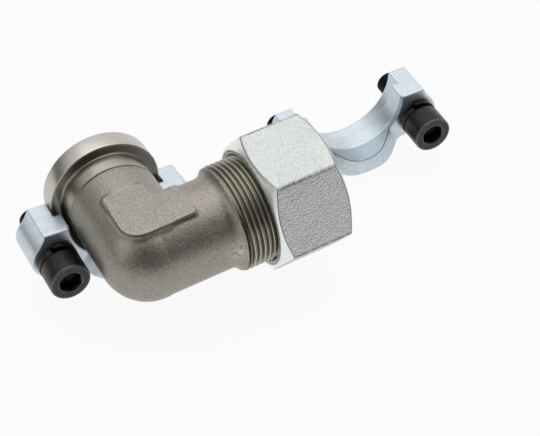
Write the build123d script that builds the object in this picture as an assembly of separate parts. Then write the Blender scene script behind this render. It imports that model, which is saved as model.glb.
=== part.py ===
"""Forged 90 degree flange elbow with a tube union, its split flange halves and their screws.

The origin is the centre of the flange's sealing face. +Y points out of that face along the
flange axis, +Z is up, and the tube leg leaves towards +X. Millimetres throughout.
"""

import math
import os

from build123d import *

# Flange head: a 1 inch split-flange connection of the standard pressure series
head_diameter = 44.45
head_thickness = 8.0
head_rim_chamfer = 0.5
neck_step = 4.125
neck_diameter = head_diameter - 2 * neck_step
neck_fillet = 0.8
neck_length = 7.5
neck_line_width = 0.5
neck_line_depth = 0.35
port_bore = 25.0

# Seal in the flange face
groove_rim = 2.125
groove_width = 4.2
groove_depth = 2.8
groove_outer_diameter = head_diameter - 2 * groove_rim
groove_inner_diameter = groove_outer_diameter - 2 * groove_width
seal_section = 3.53
seal_inner_gap = 0.56
seal_lift = 0.05
seal_sides = 12

# Forging
flange_leg = 44.6
forging_step = 0.15
flange_leg_diameter = neck_diameter + 2 * forging_step
tube_leg_diameter = 36.0
bend_diameter = max(flange_leg_diameter, tube_leg_diameter)
port_drill_depth = 52.0
port_drill_point = 7.0
pad_sink = 0.35
pad_height = bend_diameter / 2 - pad_sink
pad_half_width = 8.3
pad_tube_shift = 0.9
pad_flange_end = 17.0
pad_tube_end = 18.6
pad_outer_radius = 7.0
pad_inner_radius = 3.0
pad_draft = 14.0
pad_depth = 6.0

# Tube leg: shoulder, M42 x 2 thread and 24 degree cone for a 30 mm tube
tube_leg = 57.0
shoulder_diameter = 41.6
shoulder_start = 28.9
shoulder_flare = 2.2
shoulder_length = 0.6
thread_diameter = 41.6
thread_depth = 1.2
thread_runout = 0.9
end_chamfer = 1.4
leg_bore = 24.0
tube_diameter = 30.0
tube_clearance = 0.1
socket_depth = 12.0
cone_mouth_diameter = 33.0
cone_half_angle = 12.0
leg_rise = 3.75

# Union nut
nut_across_flats = 49.0
nut_length = 30.0
nut_start = 42.9
nut_corner_turn = 37.8
nut_face_share = 0.95
nut_chamfer_angle = 30.0
nut_thread_clearance = 0.2
nut_thread_length = 17.0
nut_mouth_chamfer = 0.8
nut_cavity_diameter = 39.4
nut_exit_clearance = 0.35

# Cutting ring
ring_length = 11.6
ring_tip_wall = 0.75
ring_bore_clearance = 0.15
ring_collar_diameter = 36.6
ring_collar_length = 2.0
ring_tail_wall = 1.0
ring_seat_gap = 0.15
seat_travel = 4.2

# Split flange halves
screw_spacing_x = 52.4
screw_spacing_z = 26.2
split_gap = 0.85
recess_clearance = 0.375
recess_depth = 7.9
lip_clearance = 1.55
lip_diameter = neck_diameter + 2 * lip_clearance
lip_end = 15.7
ear_thickness = 17.1
ear_half_width = 28.5
boss_radius = 9.4
outer_radius = 29.0
waist_fillet = 5.0
hub_end = 24.0
hub_clearance = 2.4
hub_inner_diameter = neck_diameter + 2 * hub_clearance
hub_step = 0.6
hub_outer_radius = outer_radius - hub_step
hub_draft = 0.5
hub_rim_chamfer = 0.8
hub_bore_step = 0.55
hub_end_turn = 33.0
hub_end_level = 19.45
hub_end_slope = 36.5
hub_end_round = 14.0
screw_hole_diameter = 11.0

# Socket head cap screws M10 x 30 and their sprung lock washers
screw_diameter = 10.0
screw_length = 30.0
screw_head_diameter = 15.8
screw_head_height = 10.0
screw_head_chamfer = 0.7
screw_tip_chamfer = 1.0
socket_flats = 8.0
socket_bottom = 5.0
washer_thickness = 2.5
washer_clearance = 0.1
washer_outer_diameter = 16.0
washer_rise = 2.1
washer_gap_turn = 12.0
washer_turn = 100.0

# Where the two halves stand
cradle_setback = 3.15
cradle_roll = 2.5
loose_x = 110.8
loose_y = 3.9
loose_turn = -3.7
loose_roll = -5.1


def turned(*profile):
    """A solid turned about the X axis from (along, radius) points."""
    return revolve(make_face(Polyline(*profile, close=True)), Axis.X)


def along_y(shape):
    """Swings a shape that was turned about X onto the Y axis."""
    return Rot(Z=90) * shape


def on_tube_leg(shape):
    """Moves a shape that was turned about X onto the tube leg's axis."""
    return Pos(Y=-flange_leg) * shape


def flange_profile():
    """Half section of the flange leg, (y, radius), from the bend to the sealing face."""
    head = head_diameter / 2
    neck = neck_diameter / 2
    leg = flange_leg_diameter / 2
    line = -head_thickness - neck_length
    outline = Polyline(
        (-flange_leg, 0),
        (-flange_leg, leg),
        (line - neck_line_width, leg),
        (line - neck_line_width / 2, neck - neck_line_depth),
        (line, neck),
        (-head_thickness, neck),
        (-head_thickness, head - head_rim_chamfer),
        (-head_thickness + head_rim_chamfer, head),
        (-head_rim_chamfer, head),
        (0, head - head_rim_chamfer),
        (0, 0),
        close=True,
    )
    face = make_face(outline)
    root = face.vertices().sort_by_distance((-head_thickness, neck))[0]
    return fillet(root, neck_fillet)


def tube_leg_outside():
    """Round outside of the tube leg: forged shank, flared shoulder, runout and thread blank."""
    shank = tube_leg_diameter / 2
    shoulder = shoulder_diameter / 2
    thread = thread_diameter / 2
    flare_end = shoulder_start + shoulder_flare
    shoulder_end = flare_end + shoulder_length
    return turned(
        (0, 0),
        (0, shank),
        (shoulder_start, shank),
        (flare_end, shoulder),
        (shoulder_end, shoulder),
        (shoulder_end, thread - thread_depth),
        (shoulder_end + thread_runout, thread),
        (tube_leg - end_chamfer, thread),
        (tube_leg, thread - end_chamfer),
        (tube_leg, 0),
    )


def tube_leg_inside():
    """Bore, tube socket and 24 degree cone of the tube leg."""
    bore = leg_bore / 2
    socket = tube_diameter / 2 + tube_clearance
    mouth = cone_mouth_diameter / 2
    cone_length = (mouth - socket) / math.tan(math.radians(cone_half_angle))
    return turned(
        (0, 0),
        (0, bore),
        (tube_leg - socket_depth, bore),
        (tube_leg - socket_depth, socket),
        (tube_leg - cone_length, socket),
        (tube_leg, mouth),
        (tube_leg, 0),
    )


def pad_outline():
    """L-shaped outline of the forged pad, with its corner over the bend."""
    half = pad_half_width
    low = pad_tube_shift - half
    high = pad_tube_shift + half
    outline = make_face(
        Polyline(
            (-half, low),
            (pad_tube_end, low),
            (pad_tube_end, high),
            (half, high),
            (half, pad_flange_end),
            (-half, pad_flange_end),
            close=True,
        )
    )
    outline = fillet(outline.vertices().sort_by_distance((-half, low))[0], pad_outer_radius)
    return fillet(outline.vertices().sort_by_distance((half, high))[0], pad_inner_radius)


def build_elbow():
    """Forged elbow body with its turned flange head, thread, bores and seal groove."""
    bend = Pos(Y=-flange_leg) * Sphere(bend_diameter / 2)
    body = along_y(revolve(flange_profile(), Axis.X)) + bend + on_tube_leg(tube_leg_outside())
    pad_plane = Pos(0, -flange_leg, pad_height) * pad_outline()
    body -= extrude(pad_plane, bend_diameter / 2)
    body += extrude(pad_plane, -pad_depth, taper=-pad_draft)
    drill = port_bore / 2
    body -= along_y(
        turned((-port_drill_depth - port_drill_point, 0), (-port_drill_depth, drill), (0, drill), (0, 0))
    )
    body -= on_tube_leg(tube_leg_inside())
    inner = groove_inner_diameter / 2
    outer = groove_outer_diameter / 2
    body -= along_y(turned((-groove_depth, inner), (-groove_depth, outer), (0, outer), (0, inner)))
    return Rot(Y=-leg_rise) * body


def build_seal():
    """Round-section seal that stands a little proud of its groove."""
    radius = seal_section / 2
    height = -groove_depth + radius + seal_lift
    centre = groove_inner_diameter / 2 + seal_inner_gap + radius
    section = Pos(height, centre) * RegularPolygon(radius, seal_sides)
    return along_y(revolve(section, Axis.X))


def ring_start():
    """Where the cutting ring's tip stands along the tube leg, short of the cone by its travel."""
    tip = tube_diameter / 2 + ring_bore_clearance + ring_tip_wall
    to_mouth = (cone_mouth_diameter / 2 - tip) / math.tan(math.radians(cone_half_angle))
    return tube_leg - to_mouth + seat_travel


def build_ring():
    """Cutting ring: a 12 degree nose, a collar and a 45 degree tail that the nut presses on."""
    bore = tube_diameter / 2 + ring_bore_clearance
    tip = bore + ring_tip_wall
    collar = ring_collar_diameter / 2
    tail = bore + ring_tail_wall
    shoulder = ring_length - (collar - tail)
    nose = shoulder - ring_collar_length
    nose_radius = tip + nose * math.tan(math.radians(cone_half_angle))
    ring = turned(
        (0, bore),
        (0, tip),
        (nose, nose_radius),
        (nose, collar),
        (shoulder, collar),
        (ring_length, tail),
        (ring_length, bore),
    )
    return Rot(Y=-leg_rise) * on_tube_leg(Pos(X=ring_start()) * ring)


def nut_inside():
    """Thread bore, cavity, 45 degree seat and tube exit of the nut, from its open end."""
    thread = thread_diameter / 2 + nut_thread_clearance
    cavity = nut_cavity_diameter / 2
    exit_radius = tube_diameter / 2 + nut_exit_clearance
    collar = ring_collar_diameter / 2
    tail = tube_diameter / 2 + ring_bore_clearance + ring_tail_wall
    shoulder = ring_start() - nut_start + ring_length - (collar - tail) + ring_seat_gap * math.sqrt(2)
    seat_start = shoulder - (cavity - collar)
    seat_end = shoulder + (collar - exit_radius)
    return turned(
        (0, 0),
        (0, thread + nut_mouth_chamfer),
        (nut_mouth_chamfer, thread),
        (nut_thread_length, thread),
        (nut_thread_length + thread - cavity, cavity),
        (seat_start, cavity),
        (seat_end, exit_radius),
        (nut_length, exit_radius),
        (nut_length, 0),
    )


def build_nut():
    """Hexagon union nut, chamfered at both ends."""
    corner = nut_across_flats / 2 / math.cos(math.radians(30))
    face_radius = nut_face_share * nut_across_flats / 2
    chamfer = (corner - face_radius) * math.tan(math.radians(nut_chamfer_angle))
    hexagon = RegularPolygon(corner, 6, rotation=nut_corner_turn + 90)
    blank = extrude(Plane.YZ * hexagon, nut_length)
    blank &= turned(
        (0, 0),
        (0, face_radius),
        (chamfer, corner),
        (nut_length - chamfer, corner),
        (nut_length, face_radius),
        (nut_length, 0),
    )
    nut = blank - nut_inside()
    return Rot(Y=-leg_rise) * on_tube_leg(Pos(X=nut_start) * nut)


def tangent_point(point, centre, radius):
    """Where the line from a point touches a circle, on the side away from the flange axis."""
    dx = point[0] - centre[0]
    dz = point[1] - centre[1]
    swing = math.acos(radius / math.hypot(dx, dz))
    angle = math.atan2(dz, dx) - swing
    return centre[0] + radius * math.cos(angle), centre[1] + radius * math.sin(angle)


def half_outline():
    """Face outline of a split flange half, (x, z): round belly, two ears, flat split face."""
    x = screw_spacing_x / 2
    z = -screw_spacing_z / 2
    corner = (ear_half_width, -split_gap)
    touch = tangent_point(corner, (x, z), boss_radius)
    belly = Circle(outer_radius) & Pos(Y=-outer_radius - split_gap) * Rectangle(4 * outer_radius, 2 * outer_radius)
    outline = belly
    for side in (1, -1):
        outline += Pos(side * x, z) * Circle(boss_radius)
        ear = [(0, -split_gap), corner, touch, (x, z), (0, z)]
        outline += make_face(Polyline(*[(side * u, v) for u, v in ear], close=True))
    waists = outline.vertices().filter_by(lambda v: v.Y < z and abs(v.X) > boss_radius)
    return fillet(waists, waist_fillet)


def hub_end_cut():
    """What is cut from the hub at one end: a rounded shoulder and a slope down to the ear."""
    slope = math.radians(hub_end_slope)
    edge = (hub_end_level - hub_end) / math.tan(slope)
    foot = (hub_end_level - ear_thickness) / math.tan(slope)
    tangent = hub_end_round * math.tan(slope / 2)
    start = (edge - tangent, -hub_end)
    end = (edge + tangent * math.cos(slope), -hub_end + tangent * math.sin(slope))
    reach = 2 * outer_radius
    shoulder = TangentArc(start, end, tangent=(1, 0))
    rest = Polyline(end, (foot, -ear_thickness), (reach, -ear_thickness), (reach, -reach), (start[0], -reach), start)
    return Rot(Y=-hub_end_turn) * extrude(make_face(Curve() + [shoulder, rest]), -reach)


def build_half():
    """One split flange half: stepped bore, ears with screw holes and a raised hub between them."""
    recess = head_diameter / 2 + recess_clearance
    lip = lip_diameter / 2
    hub_bore = hub_inner_diameter / 2
    body = extrude(Plane.XZ * half_outline(), ear_thickness)
    hub = along_y(
        turned(
            (-hub_end, 0),
            (-hub_end, hub_outer_radius - hub_draft - hub_rim_chamfer),
            (-hub_end + hub_rim_chamfer, hub_outer_radius - hub_draft),
            (-ear_thickness, hub_outer_radius),
            (-ear_thickness, 0),
        )
    )
    hub &= Pos(Y=-hub_end / 2, Z=-split_gap - outer_radius) * Box(4 * outer_radius, 2 * hub_end, 2 * outer_radius)
    hub -= hub_end_cut()
    hub -= mirror(hub_end_cut(), Plane.YZ)
    body += hub
    body -= along_y(
        turned(
            (-hub_end, 0),
            (-hub_end, hub_bore),
            (-lip_end, lip + hub_bore_step),
            (-lip_end, lip),
            (-recess_depth, lip),
            (-recess_depth, recess),
            (0, recess),
            (0, 0),
        )
    )
    for x in (-screw_spacing_x / 2, screw_spacing_x / 2):
        hole = Pos(x, 0, -screw_spacing_z / 2) * Rot(X=90)
        body -= hole * Cylinder(screw_hole_diameter / 2, 4 * ear_thickness)
    return body


def build_screw():
    """Socket head cap screw along Y, its head seat at y = 0 and its tip towards +Y."""
    head = screw_head_diameter / 2
    shank = screw_diameter / 2
    screw = turned(
        (-screw_head_height, 0),
        (-screw_head_height, head - screw_head_chamfer),
        (-screw_head_height + screw_head_chamfer, head),
        (0, head),
        (0, shank),
        (screw_length - screw_tip_chamfer, shank),
        (screw_length, shank - screw_tip_chamfer),
        (screw_length, 0),
    )
    hexagon = RegularPolygon(socket_flats / 2, 6, major_radius=False)
    screw -= Pos(X=-screw_head_height) * extrude(Plane.YZ * hexagon, socket_bottom)
    return along_y(screw)


def build_washer():
    """Split lock washer sprung open into a helix, its low end on the flange at y = 0."""
    inner = screw_diameter / 2 + washer_clearance
    outer = washer_outer_diameter / 2
    pitch = washer_rise / (1 - washer_gap_turn / 360)
    path = Helix(pitch, washer_rise, (inner + outer) / 2, lefthand=True)
    section = Plane(path @ 0, x_dir=(1, 0, 0), z_dir=path % 0) * Rectangle(outer - inner, washer_thickness)
    coil = sweep(section, path, is_frenet=True)
    return Rot(X=90) * Pos(Z=washer_thickness / 2) * Rot(Z=washer_turn) * coil


def main():
    """Builds every piece and writes it to its own file."""
    cradle = Pos(Y=-cradle_setback) * Rot(Y=cradle_roll)
    loose = Pos(loose_x, loose_y, 0) * Rot(Z=loose_turn) * Rot(Y=loose_roll)
    parts = {
        "elbow_body": build_elbow(),
        "face_o_ring": build_seal(),
        "cutting_ring": build_ring(),
        "union_nut": build_nut(),
    }
    half = build_half()
    screw = build_screw()
    washer = build_washer()
    sides = {"left": -screw_spacing_x / 2, "right": screw_spacing_x / 2}
    screws_of = {"cradle": (cradle, ["left"]), "loose": (loose, ["left", "right"])}
    for name, (place, filled) in screws_of.items():
        parts[f"{name}_flange_half"] = place * half
        for side in filled:
            seat = place * Pos(sides[side], -ear_thickness, -screw_spacing_z / 2)
            parts[f"{name}_washer_{side}"] = seat * washer
            parts[f"{name}_screw_{side}"] = seat * Pos(Y=-washer_thickness - washer_rise) * screw
    os.makedirs("parts", exist_ok=True)
    for name, shape in parts.items():
        export_step(shape, f"parts/{name}.step")


main()
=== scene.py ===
"""Studio scene of a forged flange elbow with its union nut, split flange halves and cap screws.

Each piece is shaped in millimetres in a frame of its own and then placed in the frame of the CAD part:
origin at the middle of the flange's sealing face, +Y out of that face, +Z up, tube leg towards +X.
"""

import logging
import math
from collections.abc import Callable, Sequence
from dataclasses import dataclass, field, replace
from enum import Enum

import bpy
import numpy as np
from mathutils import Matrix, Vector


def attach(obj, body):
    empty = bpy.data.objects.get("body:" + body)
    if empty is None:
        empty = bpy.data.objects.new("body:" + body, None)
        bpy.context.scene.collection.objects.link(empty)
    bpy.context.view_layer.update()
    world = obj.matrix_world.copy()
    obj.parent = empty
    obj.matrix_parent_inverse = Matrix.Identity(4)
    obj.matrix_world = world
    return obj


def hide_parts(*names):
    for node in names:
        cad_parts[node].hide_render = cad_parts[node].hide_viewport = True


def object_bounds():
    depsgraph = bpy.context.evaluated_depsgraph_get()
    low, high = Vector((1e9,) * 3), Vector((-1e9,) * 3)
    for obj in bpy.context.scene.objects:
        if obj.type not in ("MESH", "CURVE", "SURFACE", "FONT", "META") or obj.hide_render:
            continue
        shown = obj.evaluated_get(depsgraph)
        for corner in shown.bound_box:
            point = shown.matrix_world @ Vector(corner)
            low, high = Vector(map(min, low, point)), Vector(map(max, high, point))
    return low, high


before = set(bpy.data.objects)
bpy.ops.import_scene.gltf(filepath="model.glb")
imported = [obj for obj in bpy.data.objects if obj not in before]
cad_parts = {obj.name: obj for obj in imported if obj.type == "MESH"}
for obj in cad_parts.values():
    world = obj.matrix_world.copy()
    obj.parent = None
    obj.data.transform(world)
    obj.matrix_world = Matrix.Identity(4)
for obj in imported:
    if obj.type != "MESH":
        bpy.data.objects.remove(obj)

import openvdb
from mathutils import Matrix

CAD_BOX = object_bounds()
MM = 0.001
LOCAL = "local_mm"

# Largest share of an edge that one rounding takes up
ROUND_SHARE = 0.48

# Points of one thread ridge, as shares of the pitch and of the depth
THREAD_FORM = ((0.0, 0.0), (0.22, 0.0), (0.53, 0.94), (0.57, 1.0), (0.65, 1.0), (0.69, 0.94))

log = logging.getLogger("flange_elbow")

Colour = tuple[float, float, float]
Corner = tuple[float, float, float]


class Body(Enum):
    """Moving bodies of the CAD part."""

    FITTING = "fitting"
    RING = "ring"
    NUT = "nut"


class Slot(Enum):
    """Material slots of the CAD part."""

    FORGED = "forged_steel"
    TURNED = "turned_steel"
    ZINC = "zinc_plate"
    BLACK = "black_oxide"
    RUBBER = "seal_rubber"


class Axis(Enum):
    """Axes to turn about, by their place in a vector."""

    X = 0
    Y = 1
    Z = 2


class Side(Enum):
    """Sides of a flange half, by their direction along its X axis."""

    LEFT = -1
    RIGHT = 1


@dataclass(frozen=True)
class Place:
    """A turn followed by a shift, from a piece's own frame to the CAD frame."""

    turn: np.ndarray = field(default_factory=lambda: np.eye(3))
    shift: np.ndarray = field(default_factory=lambda: np.zeros(3))

    def __matmul__(self, inner: "Place") -> "Place":
        """The place that applies `inner` first and this one after it."""
        return Place(self.turn @ inner.turn, self.turn @ inner.shift + self.shift)

    def apply(self, points: np.ndarray) -> np.ndarray:
        """Moves points of shape (n, 3)."""
        return points @ self.turn.T + self.shift


def shifted(x: float = 0.0, y: float = 0.0, z: float = 0.0) -> Place:
    """A place that only shifts."""
    return Place(shift=np.array([x, y, z]))


def about(axis: Axis, degrees: float) -> Place:
    """A place that only turns.

    Args:
        axis: axis to turn about.
        degrees: right-handed angle.

    Returns:
        The place.
    """
    angle = math.radians(degrees)
    first = (axis.value + 1) % 3
    second = (axis.value + 2) % 3
    turn = np.eye(3)
    turn[first, first] = math.cos(angle)
    turn[second, second] = math.cos(angle)
    turn[first, second] = -math.sin(angle)
    turn[second, first] = math.sin(angle)
    return Place(turn=turn)


ALONG_Y = about(Axis.Z, 90)


def linked(name: str, data: bpy.types.ID) -> bpy.types.Object:
    """Makes an object and links it to the scene.

    Args:
        name: name of the object.
        data: its mesh, camera or lamp.

    Returns:
        The object.
    """
    made = bpy.data.objects.new(name, data)
    bpy.context.scene.collection.objects.link(made)
    return made


@dataclass
class Shell:
    """Points in millimetres and the faces between them."""

    points: np.ndarray
    faces: list[tuple[int, ...]]

    def __add__(self, other: "Shell") -> "Shell":
        """Both shells as one."""
        moved = [tuple(i + len(self.points) for i in face) for face in other.faces]
        return Shell(np.vstack([self.points, other.points]), self.faces + moved)

    def welded(self) -> "Shell":
        """Joins points that coincide and drops the faces that vanish with them.

        Returns:
            The welded shell.
        """
        _, first, where = np.unique(np.round(self.points, 4), axis=0, return_index=True, return_inverse=True)
        where = where.reshape(-1)
        faces = [tuple(dict.fromkeys(int(where[i]) for i in face)) for face in self.faces]
        return Shell(self.points[first], [face for face in faces if len(face) > 2])

    def outward(self) -> "Shell":
        """Turns the faces so that their normals point out of the solid.

        Returns:
            The shell itself where they do, or else one with its faces turned over.
        """
        volume = 0.0
        for corner in range(1, max(len(face) for face in self.faces) - 1):
            index = np.array([(f[0], f[corner], f[corner + 1]) for f in self.faces if len(f) > corner + 1])
            a, b, c = (self.points[index[:, k]] for k in range(3))
            volume += np.einsum("ij,ij->i", a, np.cross(b, c)).sum()
        if volume < 0:
            return Shell(self.points, [face[::-1] for face in self.faces])
        return self

    def normals(self) -> np.ndarray:
        """Averages the normals of the faces that meet at each point.

        Returns:
            Unit normals of shape (n, 3).
        """
        index = np.array([face[:3] for face in self.faces])
        a, b, c = (self.points[index[:, k]] for k in range(3))
        across = np.cross(b - a, c - a)
        total = np.zeros_like(self.points)
        for k in range(3):
            np.add.at(total, index[:, k], across)
        return total / np.maximum(np.linalg.norm(total, axis=1, keepdims=True), 1e-12)

    def weathered(self, depth: float, spacing: float, seed: int) -> "Shell":
        """Sinks the skin unevenly, as on a forging.

        Args:
            depth: deepest hollow.
            spacing: distance between hollows.
            seed: start of the random series.

        Returns:
            The uneven shell, nowhere proud of the even one.
        """
        least = 0.35
        sink = depth * (least + (1 - least) * lattice_noise(self.points, spacing, seed))
        return Shell(self.points - self.normals() * sink[:, None], self.faces)

    def to_object(self, name: str, place: Place, sharp: float = 32.0) -> bpy.types.Object:
        """Makes a Blender object that also keeps each point's own-frame position.

        Args:
            name: name of the object.
            place: where the piece stands in the CAD frame.
            sharp: edges sharper than this many degrees are not smoothed.

        Returns:
            The object, linked to the scene.
        """
        mesh = bpy.data.meshes.new(name)
        mesh.from_pydata((place.apply(self.points) * MM).tolist(), [], self.faces)
        local = mesh.attributes.new(LOCAL, "FLOAT_VECTOR", "POINT")
        local.data.foreach_set("vector", self.points.astype(np.float32).ravel())
        mesh.shade_smooth()
        mesh.set_sharp_from_angle(angle=math.radians(sharp))
        return linked(name, mesh)


def lattice_noise(points: np.ndarray, spacing: float, seed: int) -> np.ndarray:
    """Smooth noise from 0 to 1 on a random lattice.

    Args:
        points: where to read the noise, of shape (n, 3).
        spacing: distance between lattice points.
        seed: start of the random series.

    Returns:
        One value per point.
    """
    scaled = (points - points.min(0)) / spacing
    cell = np.floor(scaled).astype(int)
    part = scaled - cell
    part = part * part * (3 - 2 * part)
    values = np.random.default_rng(seed).random(tuple(cell.max(0) + 2))
    total = np.zeros(len(points))
    for corner in range(8):
        step = np.array([corner & 1, corner >> 1 & 1, corner >> 2 & 1])
        weight = np.prod(np.where(step == 1, part, 1 - part), axis=1)
        total += weight * values[tuple((cell + step).T)]
    return total


def rounded(corners: Sequence[Corner], closed: bool, steps: int = 3) -> np.ndarray:
    """A profile with its corners rounded.

    Args:
        corners: (along, radius, setback) of each corner; a setback of 0 stays sharp.
        closed: whether the last corner runs back to the first.
        steps: points on each rounding.

    Returns:
        Points of shape (n, 2).
    """
    at = np.array([c[:2] for c in corners], float)
    points = []
    for i, (_, _, setback) in enumerate(corners):
        inner = closed or 0 < i < len(corners) - 1
        if setback == 0 or not inner:
            points.append(at[i])
            continue
        back = at[i - 1] - at[i]
        ahead = at[(i + 1) % len(at)] - at[i]
        back_length = np.linalg.norm(back)
        ahead_length = np.linalg.norm(ahead)
        reach = min(setback, ROUND_SHARE * back_length, ROUND_SHARE * ahead_length)
        start = at[i] + back / back_length * reach
        end = at[i] + ahead / ahead_length * reach
        for t in np.linspace(0, 1, steps + 1):
            points.append((1 - t) ** 2 * start + 2 * t * (1 - t) * at[i] + t * t * end)
    return np.array(points)


def bridged(rows: np.ndarray, closed: bool) -> Shell:
    """Faces between neighbouring rows of points.

    Args:
        rows: points of shape (rows, columns, 3), with the last column on the first.
        closed: whether the last row runs back to the first.

    Returns:
        The welded shell.
    """
    count, columns = rows.shape[:2]
    faces = []
    for row in range(count if closed else count - 1):
        low = row * columns
        high = (row + 1) % count * columns
        for column in range(columns - 1):
            faces.append((low + column, low + column + 1, high + column + 1, high + column))
    return Shell(rows.reshape(-1, 3), faces).welded().outward()


def around(columns: int) -> np.ndarray:
    """Angles of a full turn, the last on the first."""
    return np.linspace(0, 2 * math.pi, columns + 1)


def polar(along: np.ndarray, radius: np.ndarray, angles: np.ndarray) -> np.ndarray:
    """Points at places along X and at radii and angles about it, with x, y and z as the last axis."""
    along, radius, angles = np.broadcast_arrays(along, radius, angles)
    return np.stack([along, radius * np.cos(angles), radius * np.sin(angles)], axis=-1)


def turned_rows(profiles: np.ndarray, angles: np.ndarray) -> np.ndarray:
    """Rows of points of a profile that is turned about the X axis.

    Args:
        profiles: one (along, radius) profile of shape (n, 2), or one for each angle of shape (angles, n, 2).
        angles: angles about X.

    Returns:
        Rows of shape (n, angles, 3).
    """
    if profiles.ndim == 2:
        profiles = profiles[None]
    return polar(profiles[:, :, 0].T, profiles[:, :, 1].T, angles)


@dataclass(frozen=True)
class Thread:
    """An outside thread about X: where it starts and ends, its pitch, and its groove and ridge radius."""

    start: float
    end: float
    pitch: float
    root: float
    crest: float

    def rows(self, cap: Callable[[np.ndarray], np.ndarray], angles: np.ndarray) -> np.ndarray:
        """Helical rows of points.

        Args:
            cap: largest radius at a place along the axis.
            angles: angles of the columns.

        Returns:
            Rows of shape (rows, columns, 3).
        """
        rows = []
        for turn in range(math.ceil((self.end - self.start) / self.pitch) + 1):
            for phase, height in THREAD_FORM:
                along = self.start + self.pitch * (turn + phase - 1 + angles / (2 * math.pi))
                along = np.clip(along, self.start, self.end)
                radius = np.minimum(self.root + (self.crest - self.root) * height, cap(along))
                rows.append(polar(along, radius, angles))
        return np.array(rows)


def soft_min(a: np.ndarray, b: np.ndarray, blend: float) -> np.ndarray:
    """Union of two distance fields with a fillet about `blend` wide."""
    share = np.clip(0.5 + 0.5 * (b - a) / blend, 0, 1)
    return b + (a - b) * share - blend * share * (1 - share)


def soft_max(a: np.ndarray, b: np.ndarray, blend: float) -> np.ndarray:
    """Intersection of two distance fields with an edge about `blend` wide."""
    return -soft_min(-a, -b, blend)


@dataclass(frozen=True)
class CellBlock:
    """A block of cubic cells in which a solid's signed distance is worked out."""

    low: Corner
    high: Corner
    cell: float

    def axes(self) -> tuple[np.ndarray, np.ndarray, np.ndarray]:
        """Cell places along x, y and z, shaped to combine into a block."""
        x, y, z = (np.arange(a, b, self.cell, dtype=np.float32) for a, b in zip(self.low, self.high))
        return x[:, None, None], y[None, :, None], z[None, None, :]

    def skin(self, distance: np.ndarray) -> Shell:
        """The surface on which the distance is zero.

        Args:
            distance: signed distance in each cell, below zero inside.

        Returns:
            A closed shell of quads.
        """
        band = 3 * self.cell
        grid = openvdb.FloatGrid(background=band)
        grid.copyFromArray(np.clip(distance, -band, band).astype(np.float64))
        grid.transform = openvdb.createLinearTransform(voxelSize=self.cell)
        points, quads = grid.convertToQuads(0.0)
        shell = Shell(points.astype(float) + np.array(self.low), [tuple(q) for q in quads.tolist()])
        return shell.outward()


class Value:
    """A shader socket on which Python's operators add Math and Vector Math nodes."""

    def __init__(self, graph: "Graph", socket: bpy.types.NodeSocket) -> None:
        """Wraps an output socket of a graph."""
        self.graph = graph
        self.socket = socket

    @property
    def is_vector(self) -> bool:
        """Whether the socket carries a vector or a colour."""
        return self.socket.type in ("VECTOR", "RGBA")

    def maths(self, operation: str, *operands: object) -> "Value":
        """Adds one Math node, or one Vector Math node where a vector is among the operands.

        Args:
            operation: the node's operation.
            *operands: values, numbers or triples, in the node's order.

        Returns:
            The node's result.
        """
        vector = any(isinstance(o, tuple) or isinstance(o, Value) and o.is_vector for o in operands)
        kind = "ShaderNodeVectorMath" if vector else "ShaderNodeMath"
        node = self.graph.node(kind, {"operation": operation})
        for socket, operand in zip(node.inputs, operands):
            if vector and isinstance(operand, (int, float)):
                operand = (operand, operand, operand)
            self.graph.feed(socket, operand)
        return self.graph.result(node)

    def __add__(self, other: object) -> "Value":
        """Sum."""
        return self.maths("ADD", self, other)

    def __radd__(self, other: object) -> "Value":
        """Sum, reflected."""
        return self.maths("ADD", other, self)

    def __sub__(self, other: object) -> "Value":
        """Difference."""
        return self.maths("SUBTRACT", self, other)

    def __rsub__(self, other: object) -> "Value":
        """Difference, reflected."""
        return self.maths("SUBTRACT", other, self)

    def __mul__(self, other: object) -> "Value":
        """Product."""
        return self.maths("MULTIPLY", self, other)

    def __rmul__(self, other: object) -> "Value":
        """Product, reflected."""
        return self.maths("MULTIPLY", other, self)

    def __pow__(self, power: float) -> "Value":
        """Power."""
        return self.maths("POWER", self, power)

    def __abs__(self) -> "Value":
        """Size without sign."""
        return self.maths("ABSOLUTE", self)

    def root(self) -> "Value":
        """Square root."""
        return self.maths("SQRT", self)

    def smaller(self, other: object) -> "Value":
        """The smaller of two values."""
        return self.maths("MINIMUM", self, other)

    def larger(self, other: object) -> "Value":
        """The larger of two values."""
        return self.maths("MAXIMUM", self, other)

    def dot(self, direction: Corner) -> "Value":
        """How far a vector reaches along a direction."""
        return self.maths("DOT_PRODUCT", self, direction)

    def distance(self, point: Corner) -> "Value":
        """Distance from a point."""
        return self.maths("DISTANCE", self, point)

    def rise(self, low: float, high: float) -> "Value":
        """A smooth step from 0 at `low` to 1 at `high`."""
        settings = {"interpolation_type": "SMOOTHSTEP"}
        return self.graph.value("ShaderNodeMapRange", settings, Value=self, From_Min=low, From_Max=high)

    def fall(self, low: float, high: float) -> "Value":
        """A smooth step from 1 at `low` to 0 at `high`."""
        return 1 - self.rise(low, high)

    def parts(self) -> tuple["Value", "Value", "Value"]:
        """The x, y and z of a vector."""
        node = self.graph.node("ShaderNodeSeparateXYZ", None, Vector=self)
        return tuple(Value(self.graph, out) for out in node.outputs)


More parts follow.
